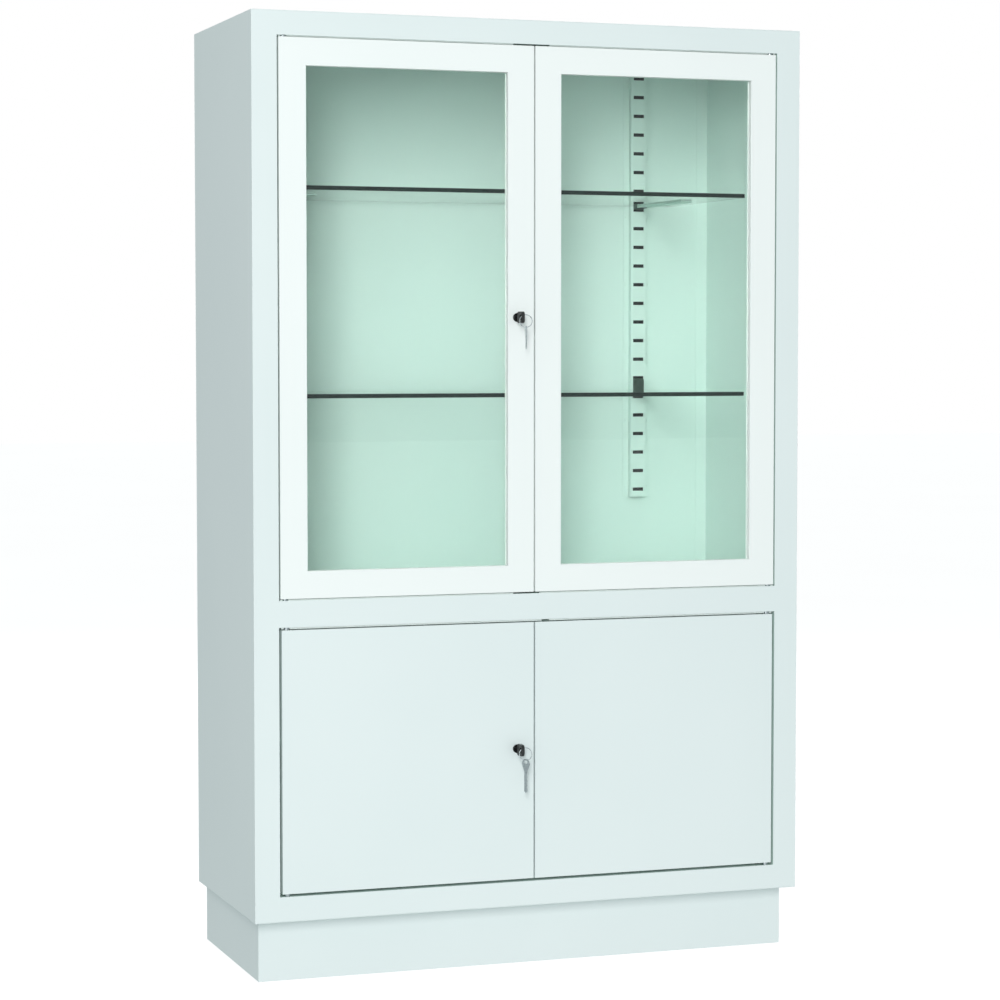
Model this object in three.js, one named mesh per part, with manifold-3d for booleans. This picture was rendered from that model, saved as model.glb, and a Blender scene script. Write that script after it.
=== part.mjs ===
// Glass door medical cabinet: a white sheet-steel cabinet on a plinth, with two glass doors over two
// steel cupboard doors. Millimetres, X to the right, Y from the front to the back, Z up from the floor.
// While it is built the front face lies at Y = 0; the finished footprint is then centred on the origin.

import * as THREE from 'three';
import { mergeVertices } from 'three/addons/utils/BufferGeometryUtils.js';
import Module from 'manifold-3d';

const wasm = await Module();
wasm.setup();

// Whole cabinet
const bodyWidth = 1100;
const bodyDepth = 450;
const totalHeight = 1800;
const sheet = 1.2;
const fold = 24;
const fitGap = 0.3;

// Plinth, set back under the body
const plinthHeight = 118;
const plinthSideInset = 16;
const plinthFrontInset = 40;
const plinthSheet = 1.5;
const plinthFlange = 28;

// Front frame round the two door openings
const stileWidth = 48;
const topRailHeight = 45;
const middleRailHeight = 50;
const bottomRailHeight = 47;
const lowerOpeningHeight = 502;
const frameDepth = 38;

// Doors and the gaps round them
const doorThickness = 20;
const upperDoorGap = 3;
const lowerDoorGap = 5;
const meetingGap = 3;
const doorStopWidth = 10;
const doorStopGap = 4;
const doorStileWidth = 52;
const doorRailHeight = 51;
const glassSeatDepth = 8;
const glassLap = 8;
const sealThickness = 1.5;
const paneThickness = 5;
const linerFold = 8;

// Concealed pivots
const pivotInset = 10;
const pinRadius = 4;
const pinReach = 14;
const pinHeadRadius = 5.5;
const pinHeadThickness = 3;

// Glass shelves on brackets hooked into slotted rails
const railFromSide = 161;
const railWidth = 34;
const railDepth = 14;
const railFoot = 12;
const railSheet = 1.5;
const railEnd = 16;
const slotWidth = 23;
const slotHeight = 7;
const slotPitch = 38.75;
const topSlotDrop = 13.5;
const lowestSlotHeight = 150;
const slotCountAboveUpperShelf = 6;
const slotCountAboveLowerShelf = 16;
const bracketWidth = 24;
const bracketSheet = 2;
const bracketHookDrop = 5;
const bracketArmLength = 250;
const bracketArmTip = 3;
const shelfDrop = 32;
const shelfSideGap = 92;
const shelfThickness = 8;
const shelfFrontSetback = 50;
const shelfBackGap = 0.8;

// Steel shelf of the lower cupboard
const cupboardShelfHeight = 250;
const cupboardShelfSetback = 70;
const cupboardShelfBackGap = 10;
const cupboardShelfSideGap = 3;
const cupboardShelfFold = 20;
const supportSheet = 1.5;
const supportLeg = 20;
const supportSetback = 10;

// Magnetic catches for the left leaves, which close last and have no bolt
const catchX = -15;
const catchWidth = 34;
const catchHeight = 12;
const catchGap = 0.5;
const catchDepth = 16;
const catchFootWidth = 50;
const catchFootHeight = 2;
const catchStopGap = 1;

// Locks and keys
const lockInset = 34;
const lockRise = 5;
const lockFlangeRadius = 8.5;
const lockFlangeProud = 3;
const lockChamfer = 1;
const lockBarrelRadius = 7;
const lockBarrelBack = 0.7;
const nutRadius = 11;
const nutThickness = 5;
const plugRadius = 5.2;
const plugProud = 0.6;
const plugTailRadius = 3.5;
const plugTailEnd = 1;
const camGap = 1.3;
const camThickness = 2;
const camWidth = 14;
const camGrip = 12;
const keyBladeThickness = 2;
const keyBladeHeight = 7;
const keyBladeDepth = 15;
const keyNeck = 4;
const keyHeadLength = 28;
const keyHeadHeight = 22;
const keyHeadThickness = 6;
const keyHeadCorner = 7;
const keyHoleRadius = 5.5;
const keyHoleRim = 2.5;
const ringRadius = 12;
const ringWireRadius = 0.8;
const ringRise = 2;
const ringDroop = THREE.MathUtils.degToRad(75);
const spareBowRadius = 9;
const spareHoleRadius = 4;
const spareHoleRim = 1.7;
const spareSlack = 0.5;
const spareShoulder = 15;
const spareShoulderAngle = THREE.MathUtils.degToRad(20);
const spareBladeWidth = 6.5;
const upperSpareBlade = 20;
const lowerSpareBlade = 41;
const lowerSpareTurn = THREE.MathUtils.degToRad(45);
const spareThickness = 1.6;
const spareNotchCount = 4;
const spareNotchDepth = 1.4;

// Sliding bolts of the right doors
const boltInset = 22;
const boltDepth = 8;
const boltRadius = 3;
const boltLength = 70;
const boltTravel = 12;
const boltKnobDrop = 45;
const boltStemRadius = 2.5;
const boltKnobRadius = 6;
const boltKnobThickness = 5;
const boltKnobGap = 2;

// Mesh fineness
const roundSegments = 20;
const smallSegments = 16;
const ringSegments = 28;
const wireSegments = 6;
const weldTolerance = 1e-5;
const overcut = 1;

// Levels and places worked out from the driving sizes
const pivotDepth = sheet + fitGap + pinHeadRadius;
const halfWidth = bodyWidth / 2;
const insideHalfWidth = halfWidth - sheet;
const railOffset = halfWidth - railFromSide;
const shelfHalfLength = halfWidth - shelfSideGap;
const shellBottom = plinthHeight + sheet;
const shellTop = totalHeight - sheet;
const shellBack = bodyDepth - sheet;
const openingHalfWidth = halfWidth - stileWidth;
const lowerOpening = { low: plinthHeight + bottomRailHeight, gap: lowerDoorGap };
lowerOpening.high = lowerOpening.low + lowerOpeningHeight;
lowerOpening.catchEdges = ['high'];
const upperOpening = { low: lowerOpening.high + middleRailHeight, gap: upperDoorGap };
upperOpening.high = totalHeight - topRailHeight;
upperOpening.catchEdges = ['low', 'high'];
const openings = [upperOpening, lowerOpening];
for (const opening of openings) {
  opening.leafWidth = openingHalfWidth - opening.gap - meetingGap / 2;
  opening.leafHeight = opening.high - opening.low - 2 * opening.gap;
  opening.lockHeight = opening.leafHeight / 2 + lockRise;
}

// Finishes
const powderCoat = new THREE.MeshStandardMaterial({ color: 0xeef4f3, roughness: 0.45, metalness: 0.0 });
const greenGlass = new THREE.MeshStandardMaterial({
  color: 0xb9dccf, roughness: 0.05, metalness: 0.0, transparent: true, opacity: 0.35,
});
const shelfGlass = new THREE.MeshStandardMaterial({
  color: 0x7fb3a0, roughness: 0.05, metalness: 0.0, transparent: true, opacity: 0.45,
});
const greyRubber = new THREE.MeshStandardMaterial({ color: 0xc9d3d0, roughness: 0.7, metalness: 0.0 });
const zincPlate = new THREE.MeshStandardMaterial({ color: 0x9aa3a3, roughness: 0.4, metalness: 0.9 });
const brightSteel = new THREE.MeshStandardMaterial({ color: 0xc8cdd0, roughness: 0.25, metalness: 1.0 });
const blackPlastic = new THREE.MeshStandardMaterial({ color: 0x15191a, roughness: 0.5, metalness: 0.0 });

// A closed mesh becomes a solid that can be joined and cut
function solidOf(geometry) {
  const bare = geometry.clone();
  bare.deleteAttribute('normal');
  bare.deleteAttribute('uv');
  const merged = mergeVertices(bare, weldTolerance);
  const mesh = new wasm.Mesh({
    numProp: 3,
    vertProperties: new Float32Array(merged.attributes.position.array),
    triVerts: new Uint32Array(merged.index.array),
  });
  return new wasm.Manifold(mesh);
}

function geometryOf(solid) {
  const mesh = solid.getMesh();
  const geometry = new THREE.BufferGeometry();
  geometry.setAttribute('position', new THREE.BufferAttribute(mesh.vertProperties, 3));
  geometry.setIndex(new THREE.BufferAttribute(mesh.triVerts, 1));
  geometry.computeVertexNormals();
  return geometry;
}

function join(...pieces) {
  const solids = pieces.map(solidOf);
  return geometryOf(solids.reduce((whole, piece) => whole.add(piece)));
}

function cut(base, ...cutters) {
  const solids = cutters.map(solidOf);
  return geometryOf(solids.reduce((whole, cutter) => whole.subtract(cutter), solidOf(base)));
}

// A block between two places on each axis, whose faces keep exactly the numbers given
function slab(xRange, yRange, zRange) {
  const ranges = [xRange, yRange, zRange];
  const lows = ranges.map((range) => Math.min(...range));
  const highs = ranges.map((range) => Math.max(...range));
  const geometry = new THREE.BoxGeometry(1, 1, 1);
  const position = geometry.attributes.position;
  for (let i = 0; i < position.count; i += 1) {
    const corner = [position.getX(i), position.getY(i), position.getZ(i)];
    position.setXYZ(i, ...corner.map((value, axis) => (value < 0 ? lows[axis] : highs[axis])));
  }
  return geometry;
}

function spread(half) {
  return [-half, half];
}

function about(centre, half) {
  return [centre - half, centre + half];
}

// A turned piece: the profile's points are [radius, height], climbing along its outside
function turned(profile, segments) {
  return new THREE.LatheGeometry(profile.map(([r, h]) => new THREE.Vector2(r, h)), segments);
}

function upright(geometry) {
  return geometry.rotateX(Math.PI / 2);
}

// A round bar along Y or Z, to cut holes or to join
function barAlongY(radius, yRange, x, z) {
  const [y0, y1] = yRange;
  const bar = turned([[0, y0], [radius, y0], [radius, y1], [0, y1]], smallSegments);
  return bar.translate(x, 0, z);
}

function barAlongZ(radius, zRange, x, y) {
  const [z0, z1] = zRange;
  const bar = turned([[0, z0], [radius, z0], [radius, z1], [0, z1]], smallSegments);
  return upright(bar).translate(x, y, 0);
}

// A prism of an outline between two places on one axis, whose end faces keep exactly the numbers given.
// The outline is drawn in Y and Z for a prism along X, X and Z along Y, or X and Y along Z.
function prism(outline, axis, range) {
  const low = Math.min(...range);
  const high = Math.max(...range);
  const geometry = new THREE.ExtrudeGeometry(outline, {
    depth: 1, bevelEnabled: false, curveSegments: smallSegments / 2,
  });
  const position = geometry.attributes.position;
  for (let i = 0; i < position.count; i += 1) {
    const [a, b] = [position.getX(i), position.getY(i)];
    const atEnd = position.getZ(i) > 0.5;
    if (axis === 'x') {
      position.setXYZ(i, atEnd ? high : low, a, b);
    } else if (axis === 'y') {
      position.setXYZ(i, a, atEnd ? low : high, b);
    } else {
      position.setXYZ(i, a, b, atEnd ? high : low);
    }
  }
  return geometry;
}

function polygon(...corners) {
  return new THREE.Shape(corners.map(([a, b]) => new THREE.Vector2(a, b)));
}

function roundedRectangle(x0, x1, y0, y1, corner) {
  const shape = new THREE.Shape();
  const quarter = Math.PI / 2;
  shape.absarc(x1 - corner, y0 + corner, corner, -quarter, 0);
  shape.absarc(x1 - corner, y1 - corner, corner, 0, quarter);
  shape.absarc(x0 + corner, y1 - corner, corner, quarter, 2 * quarter);
  shape.absarc(x0 + corner, y0 + corner, corner, 2 * quarter, 3 * quarter);
  return shape;
}

function roundHole(x, y, radius) {
  const hole = new THREE.Path();
  hole.absarc(x, y, radius, 0, 2 * Math.PI, true);
  return hole;
}

const cabinet = new THREE.Group();

function place(name, geometry, material, parent = cabinet) {
  const mesh = new THREE.Mesh(geometry, material);
  mesh.name = name;
  parent.add(mesh);
  return mesh;
}

// Where the pivots and bolts stand, measured from the cabinet's middle
function pivotX(opening) {
  return openingHalfWidth - opening.gap - pivotInset;
}

const boltX = meetingGap / 2 + boltInset;

// A strip round an opening, just behind its closed doors, left out where a catch sits
function makeDoorStop(opening) {
  const front = doorThickness + doorStopGap;
  const through = [front - overcut, front + sheet + overcut];
  const plate = slab(spread(openingHalfWidth), [front, front + sheet], [opening.low, opening.high]);
  const middle = slab(
    spread(openingHalfWidth - doorStopWidth),
    through,
    [opening.low + doorStopWidth, opening.high - doorStopWidth],
  );
  const notches = opening.catchEdges.map((edge) => slab(
    about(catchX, catchFootWidth / 2 + catchStopGap),
    through,
    about(opening[edge], doorStopWidth + overcut),
  ));
  return cut(plate, middle, ...notches);
}

// Front frame: a face sheet with two openings, lips folded in round them, and a flange behind
function makeFrontFrame() {
  const flangeFront = frameDepth - sheet;
  const face = slab(spread(halfWidth), [0, sheet], [shellBottom, shellTop]);
  const backFlange = slab(
    spread(insideHalfWidth - fitGap),
    [flangeFront, frameDepth],
    [shellBottom + fitGap, shellTop - fitGap],
  );
  const lips = openings.map((opening) => slab(
    spread(openingHalfWidth + sheet),
    [sheet, flangeFront],
    [opening.low - sheet, opening.high + sheet],
  ));
  const hollows = openings.map((opening) => slab(
    spread(openingHalfWidth),
    [-overcut, frameDepth + overcut],
    [opening.low, opening.high],
  ));
  const holes = [];
  for (const opening of openings) {
    for (const side of [-1, 1]) {
      const x = side * pivotX(opening);
      const through = [opening.low - sheet - overcut, opening.high + sheet + overcut];
      holes.push(barAlongZ(pinRadius + fitGap, through, x, pivotDepth));
    }
    const above = [opening.high - overcut, opening.high + sheet + overcut];
    holes.push(barAlongZ(boltRadius + 2 * fitGap, above, boltX, boltDepth));
  }
  const folded = cut(join(face, backFlange, ...lips), ...hollows, ...holes);
  place('front_frame', join(folded, ...openings.map(makeDoorStop)), powderCoat);
}

// Side panels: one sheet each, folded in along the front and the back
function makeSidePanel(side, name) {
  const outer = side * halfWidth;
  const inner = side * insideHalfWidth;
  const edge = side * (insideHalfWidth - fold);
  const plan = polygon(
    [outer, sheet],
    [edge, sheet],
    [edge, 2 * sheet],
    [inner, 2 * sheet],
    [inner, shellBack - sheet],
    [edge, shellBack - sheet],
    [edge, shellBack],
    [outer, shellBack],
  );
  place(name, prism(plan, 'z', [shellBottom, shellTop]), powderCoat);
}

// Top and base panels close the shell, with a fold along the front and the back
function makeEndPanel(name, outerZ, innerZ, foldZ) {
  const foldHalf = insideHalfWidth - fold - fitGap;
  const panel = slab(spread(halfWidth), [0, bodyDepth], [outerZ, innerZ]);
  const frontFold = slab(spread(foldHalf), [sheet, 2 * sheet], [innerZ, foldZ]);
  const backFold = slab(spread(foldHalf), [shellBack - sheet, shellBack], [innerZ, foldZ]);
  place(name, join(panel, frontFold, backFold), powderCoat);
}

// A sheet between two depths, folded down along its front and back
function foldedShelf(half, front, back, level, drop) {
  const section = polygon(
    [front, level],
    [front, level - drop],
    [front + sheet, level - drop],
    [front + sheet, level - sheet],
    [back - sheet, level - sheet],
    [back - sheet, level - drop],
    [back, level - drop],
    [back, level],
  );
  return prism(section, 'x', spread(half));
}

function makeBackPanel() {
  const panel = slab(spread(halfWidth), [shellBack, bodyDepth], [shellBottom, shellTop]);
  place('back_panel', panel, powderCoat);
}

function makeDeck(name, level) {
  const deck = foldedShelf(insideHalfWidth, frameDepth, shellBack - sheet, level, fold);
  place(name, deck, powderCoat);
}

// Plinth: a ring of four walls with flanges turned in at the floor and under the body
function makePlinth() {
  const half = halfWidth - plinthSideInset;
  const wall = plinthSheet;
  const block = slab(spread(half), [plinthFrontInset, bodyDepth], [0, plinthHeight]);
  const hollow = slab(
    spread(half - wall),
    [plinthFrontInset + wall, bodyDepth - wall],
    [wall, plinthHeight - wall],
  );
  const mouth = slab(
    spread(half - plinthFlange),
    [plinthFrontInset + plinthFlange, bodyDepth - plinthFlange],
    [-overcut, plinthHeight + overcut],
  );
  place('plinth', cut(block, hollow, mouth), powderCoat);
}

// Slotted rails on the back panel
const railFront = shellBack - railDepth;
const topSlot = upperOpening.high - topSlotDrop;
const slotCount = Math.floor((topSlot - upperOpening.low - lowestSlotHeight) / slotPitch) + 1;

function slotLevel(index) {
  return topSlot - index * slotPitch;
}

function makeSlottedRail(side, name) {
  const x = side * railOffset;
  const half = railWidth / 2;
  const wall = half - railSheet;
  const foot = half + railFoot;
  const footFront = shellBack - railSheet;
  const crownBack = railFront + railSheet;
  const plan = polygon(
    [x - foot, shellBack],
    [x - foot, footFront],
    [x - half, footFront],
    [x - half, railFront],
    [x + half, railFront],
    [x + half, footFront],
    [x + foot, footFront],
    [x + foot, shellBack],
    [x + wall, shellBack],
    [x + wall, crownBack],
    [x - wall, crownBack],
    [x - wall, shellBack],
  );
  const heights = [slotLevel(slotCount - 1) - railEnd, topSlot + railEnd];
  const slots = [];
  for (let index = 0; index < slotCount; index += 1) {
    slots.push(slab(
      about(x, slotWidth / 2),
      [railFront - overcut, crownBack + overcut],
      about(slotLevel(index), slotHeight / 2),
    ));
  }
  place(name, cut(prism(plan, 'z', heights), ...slots), powderCoat);
}

// Shelf brackets: a back plate hooked into two slots, and a shallow channel arm under the glass
const bracketBack = railFront - fitGap;
const bracketFront = bracketBack - bracketSheet;
const hookFront = railFront + railSheet + fitGap;
const hookBack = hookFront + bracketSheet;

function armLevel(slot) {
  return slotLevel(slot) - shelfDrop - fitGap;
}

function makeBracket(side, slot, name) {
  const x = side * railOffset;
  const top = slotLevel(slot) - slotHeight / 2 + fitGap + bracketSheet;
  const bottom = slotLevel(slot + 1) + slotHeight / 2 - fitGap - bracketSheet;
  const armTop = armLevel(slot);
  const armFront = bracketFront - bracketArmLength;
  const cheekBottom = bottom + bracketSheet;
  const strip = polygon(
    [armFront, armTop],
    [armFront, armTop - bracketSheet],
    [bracketFront, armTop - bracketSheet],
    [bracketFront, bottom],
    [hookBack, bottom],
    [hookBack, cheekBottom],
    [bracketBack, cheekBottom],
    [bracketBack, top - bracketSheet],
    [hookFront, top - bracketSheet],
    [hookFront, top - bracketSheet - bracketHookDrop],
    [hookBack, top - bracketSheet - bracketHookDrop],
    [hookBack, top],
    [bracketFront, top],
    [bracketFront, armTop],
  );
  const cheek = polygon(
    [armFront, armTop],
    [armFront, armTop - bracketArmTip],
    [bracketBack, cheekBottom],
    [bracketBack, top - bracketSheet],
    [bracketFront, top - bracketSheet],
    [bracketFront, armTop],
  );
  const inner = bracketWidth / 2 - bracketSheet;
  const outer = bracketWidth / 2;
  const pieces = [
    prism(strip, 'x', about(x, inner)),
    prism(cheek, 'x', [x - outer, x - inner]),
    prism(cheek, 'x', [x + inner, x + outer]),
  ];
  place(name, join(...pieces), zincPlate);
}

function makeGlassShelf(slot, name) {
  const bottom = armLevel(slot) + fitGap;
  const depths = [shelfFrontSetback, bracketFront - shelfBackGap];
  place(name, slab(spread(shelfHalfLength), depths, [bottom, bottom + shelfThickness]), shelfGlass);
}

// Steel shelf of the lower cupboard, lying on an angle on each side panel
function makeCupboardShelf() {
  const level = lowerOpening.low + cupboardShelfHeight;
  const front = cupboardShelfSetback;
  const back = shellBack - sheet - cupboardShelfBackGap;
  const half = insideHalfWidth - cupboardShelfSideGap;
  place('cupboard_shelf', foldedShelf(half, front, back, level, cupboardShelfFold), powderCoat);

  const seat = level - sheet - fitGap;
  const depths = [front + sheet + supportSetback, back - sheet - supportSetback];
  for (const [side, hand] of [[-1, 'left'], [1, 'right']]) {
    const wall = side * insideHalfWidth;
    const angle = polygon(
      [wall, seat],
      [wall - side * supportLeg, seat],
      [wall - side * supportLeg, seat - supportSheet],
      [wall - side * supportSheet, seat - supportSheet],
      [wall - side * supportSheet, seat - supportLeg],
      [wall, seat - supportLeg],
    );
    place(`${hand}_cupboard_shelf_support`, prism(angle, 'y', depths), powderCoat);
  }
}

// Pivot pins: a head behind the lip, a thrust collar in the gap, and a shank in the door's end wall
function makePivotPins(opening, level) {
  const lipBack = -sheet - fitGap;
  const doorEnd = opening.gap - fitGap;
  const profile = [
    [0, lipBack - pinHeadThickness],
    [pinHeadRadius, lipBack - pinHeadThickness],
    [pinHeadRadius, lipBack],
    [pinRadius, lipBack],
    [pinRadius, fitGap],
    [pinHeadRadius, fitGap],
    [pinHeadRadius, doorEnd],
    [pinRadius, doorEnd],
    [pinRadius, doorEnd + pinReach],
    [0, doorEnd + pinReach],
  ];
  for (const [side, hand] of [[-1, 'left'], [1, 'right']]) {
    for (const [end, where] of [[opening.high, 'top'], [opening.low, 'bottom']]) {
      const pin = upright(turned(profile, smallSegments));
      if (where === 'top') {
        pin.rotateX(Math.PI);
      }
      const mesh = place(`${level}_${hand}_${where}_pivot_pin`, pin, brightSteel);
      mesh.position.set(side * pivotX(opening), pivotDepth, end);
    }
  }
}

function makeCatch(name, lip, inward) {
  const front = doorThickness + catchGap;
  const depths = [front, front + catchDepth];
  const footTop = lip + inward * catchFootHeight;
  const bodyTop = lip + inward * catchHeight;
  const [footLeft, footRight] = about(catchX, catchFootWidth / 2);
  const [bodyLeft, bodyRight] = about(catchX, catchWidth / 2);
  const section = polygon(
    [footLeft, lip],
    [footRight, lip],
    [footRight, footTop],
    [bodyRight, footTop],
    [bodyRight, bodyTop],
    [bodyLeft, bodyTop],
    [bodyLeft, footTop],
    [footLeft, footTop],
  );
  place(name, prism(section, 'y', depths), blackPlastic);
}

// A door leaf's own axes start at its lower outer front corner and run towards the meeting line
function makeLeaf(opening, side) {
  const leaf = new THREE.Group();
  leaf.position.set(side * (openingHalfWidth - opening.gap), 0, opening.low + opening.gap);
  leaf.userData = { opening, inward: -side };
  cabinet.add(leaf);
  return leaf;
}

// A rectangular rim of the leaf between two distances in from its edges
function rim(leaf, outer, inner, yRange) {
  const { opening, inward } = leaf.userData;
  const across = (inset) => [inward * inset, inward * (opening.leafWidth - inset)];
  const up = (inset) => [inset, opening.leafHeight - inset];
  const [y0, y1] = yRange;
  const block = slab(across(outer[0]), yRange, up(outer[1]));
  const hole = slab(across(inner[0]), [y0 - overcut, y1 + overcut], up(inner[1]));
  return cut(block, hole);
}

function sheetOf(leaf, inset, yRange) {
  const { opening, inward } = leaf.userData;
  const across = [inward * inset, inward * (opening.leafWidth - inset)];
  return slab(across, yRange, [inset, opening.leafHeight - inset]);
}

function even(inset) {
  return [inset, inset];
}

function lockX(leaf) {
  return leaf.userData.inward * (leaf.userData.opening.leafWidth - lockInset);
}

function boltXOnLeaf(leaf) {
  return leaf.userData.inward * (leaf.userData.opening.leafWidth - boltInset);
}

// Holes that every leaf needs: its two pivots, then the lock on a left leaf or the bolt on a right one
function outerHoles(leaf) {
  const { opening, inward } = leaf.userData;
  const through = [-overcut, opening.leafHeight + overcut];
  const holes = [barAlongZ(pinRadius + fitGap, through, inward * pivotInset, pivotDepth)];
  if (inward > 0) {
    const face = [-overcut, sheet + overcut];
    holes.push(barAlongY(lockBarrelRadius + fitGap, face, lockX(leaf), opening.lockHeight));
  } else {
    const top = [opening.leafHeight - sheet - overcut, opening.leafHeight + overcut];
    holes.push(barAlongZ(boltRadius + fitGap, top, boltXOnLeaf(leaf), boltDepth));
  }
  return holes;
}

function innerHole(leaf) {
  const { opening, inward } = leaf.userData;
  const depths = [doorThickness - linerFold - overcut, doorThickness + overcut];
  if (inward > 0) {
    return barAlongY(lockBarrelRadius + fitGap, depths, lockX(leaf), opening.lockHeight);
  }
  const stem = opening.leafHeight - boltKnobDrop;
  const half = boltStemRadius + fitGap;
  const slide = [stem - half, stem + boltTravel + half];
  return slab(about(boltXOnLeaf(leaf), half), depths, slide);
}

const doorEdge = [doorStileWidth, doorRailHeight];
const glassBack = glassSeatDepth + sealThickness + paneThickness;
const linerInset = sheet + fitGap;
const linerFront = doorThickness - sheet;

function edgeLess(amount) {
  return [doorEdge[0] - amount, doorEdge[1] - amount];
}

// The inner sheet's edge, folded forward inside the leaf's outer wall
function linerEdge(leaf) {
  return rim(leaf, even(linerInset), even(linerInset + sheet), [doorThickness - linerFold, linerFront]);
}

function makeGlassDoor(leaf, hand) {
  const { opening, inward } = leaf.userData;
  const face = rim(leaf, even(0), doorEdge, [0, sheet]);
  const outerWall = rim(leaf, even(0), even(sheet), [sheet, doorThickness]);
  const sightWall = rim(leaf, edgeLess(sheet), doorEdge, [sheet, glassSeatDepth]);
  const frame = cut(join(face, outerWall, sightWall), ...outerHoles(leaf));
  place(`${hand}_glass_door_frame`, frame, powderCoat, leaf);

  const sealDepths = [glassSeatDepth, glassSeatDepth + sealThickness];
  place(`${hand}_glazing_seal`, rim(leaf, edgeLess(glassLap), doorEdge, sealDepths), greyRubber, leaf);

  const paneEdge = edgeLess(glassLap);
  const paneAcross = [inward * paneEdge[0], inward * (opening.leafWidth - paneEdge[0])];
  const paneUp = [paneEdge[1], opening.leafHeight - paneEdge[1]];
  place(`${hand}_glass_pane`, slab(paneAcross, [sealDepths[1], glassBack], paneUp), greenGlass, leaf);

  const plate = rim(leaf, even(linerInset), doorEdge, [linerFront, doorThickness]);
  const glassFold = rim(leaf, edgeLess(sheet), doorEdge, [glassBack + fitGap, linerFront]);
  const outerFold = linerEdge(leaf);
  place(`${hand}_glazing_frame`, cut(join(plate, outerFold, glassFold), innerHole(leaf)), powderCoat, leaf);
}

function makeCupboardDoor(leaf, hand) {
  const face = sheetOf(leaf, 0, [0, sheet]);
  const outerWall = rim(leaf, even(0), even(sheet), [sheet, doorThickness]);
  const shell = cut(join(face, outerWall), ...outerHoles(leaf));
  place(`${hand}_cupboard_door_shell`, shell, powderCoat, leaf);

  const plate = sheetOf(leaf, linerInset, [linerFront, doorThickness]);
  const liner = cut(join(plate, linerEdge(leaf)), innerHole(leaf));
  place(`${hand}_cupboard_door_liner`, liner, powderCoat, leaf);
}

// Cam lock: housing clamped in the door, a plug turning in it, and a cam on the plug's tail
const lockFace = -lockFlangeProud;
const plugFace = lockFace - plugProud;
const boreRadius = plugRadius + fitGap;
const barrelEnd = doorThickness + lockBarrelBack;
const camFront = doorThickness + camGap;
const camBack = camFront + camThickness;

function makeLock(lock, level) {
  const housing = turned([
    [boreRadius, lockFace],
    [lockFlangeRadius - lockChamfer, lockFace],
    [lockFlangeRadius, lockFace + lockChamfer],
    [lockFlangeRadius, 0],
    [lockBarrelRadius, 0],
    [lockBarrelRadius, barrelEnd],
    [boreRadius, barrelEnd],
    [boreRadius, lockFace],
  ], roundSegments);
  place(`${level}_lock_housing`, housing, brightSteel, lock);

  const hexagon = 6;
  const flatToCorner = 1 / Math.cos(Math.PI / hexagon);
  const nutBore = (lockBarrelRadius + fitGap) * flatToCorner;
  const nut = turned([
    [nutBore, sheet],
    [nutRadius, sheet],
    [nutRadius, sheet + nutThickness],
    [nutBore, sheet + nutThickness],
    [nutBore, sheet],
  ], hexagon);
  place(`${level}_lock_nut`, nut, zincPlate, lock);

  const body = turned([
    [0, plugFace],
    [plugRadius, plugFace],
    [plugRadius, camFront - fitGap],
    [plugTailRadius, camFront - fitGap],
    [plugTailRadius, camBack + plugTailEnd],
    [0, camBack + plugTailEnd],
  ], roundSegments);
  const keyway = slab(
    spread(keyBladeThickness / 2 + fitGap),
    [plugFace - overcut, keyBladeDepth + fitGap],
    spread(keyBladeHeight / 2 + fitGap),
  );
  place(`${level}_lock_plug`, cut(body, keyway), brightSteel, lock);

  const camReach = lockInset + meetingGap + camGrip;
  const outline = roundedRectangle(-camWidth / 2, camWidth / 2, -camReach, camWidth / 2, camWidth / 2);
  outline.holes.push(roundHole(0, 0, plugTailRadius + fitGap));
  place(`${level}_lock_cam`, prism(outline, 'y', [camFront, camBack]), zincPlate, lock);
}

// Key in the lock: a flat blade in the plug and an upright head with a ring hole on the lock's axis
const headNear = plugFace - keyNeck;
const headFar = headNear - keyHeadLength;
const keyHoleY = headFar + keyHoleRim + keyHoleRadius;

function makeKey(lock, level) {
  const outline = roundedRectangle(headFar, headNear, -keyHeadHeight / 2, keyHeadHeight / 2, keyHeadCorner);
  outline.holes.push(roundHole(keyHoleY, 0, keyHoleRadius));
  const head = prism(outline, 'x', spread(keyHeadThickness / 2));
  const blade = slab(
    spread(keyBladeThickness / 2),
    [headNear - overcut, keyBladeDepth],
    spread(keyBladeHeight / 2),
  );
  place(`${level}_key`, join(head, blade), blackPlastic, lock);
}

// Key ring through the head's hole, hanging down to the right so that the head can turn a quarter inside it
const down = new THREE.Vector3(0, 0, -1);
const ringAcross = new THREE.Vector3(1, 0, 1).normalize();
const ringOut = new THREE.Vector3(0, -1, 0).multiplyScalar(Math.cos(ringDroop));
ringOut.addScaledVector(new THREE.Vector3(1, 0, -1).normalize(), Math.sin(ringDroop));
const ringAxis = ringOut.clone().cross(ringAcross);
const ringCentre = new THREE.Vector3(0, keyHoleY, 0).addScaledVector(ringOut, ringRadius - ringRise);
const downInRing = down.clone().projectOnPlane(ringAxis).normalize();
const ringLow = ringCentre.clone().addScaledVector(downInRing, ringRadius);
const wireAtLow = ringAxis.clone().cross(down).normalize();
const squareToWire = Math.atan2(-wireAtLow.x, wireAtLow.y);

function makeKeyRing(lock, level) {
  const wire = new THREE.TorusGeometry(ringRadius, ringWireRadius, wireSegments, ringSegments);
  const ring = place(`${level}_key_ring`, wire, brightSteel, lock);
  const turn = new THREE.Matrix4().makeBasis(ringOut, ringAcross, ringAxis);
  ring.quaternion.setFromRotationMatrix(turn);
  ring.position.copy(ringCentre);
}

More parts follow.
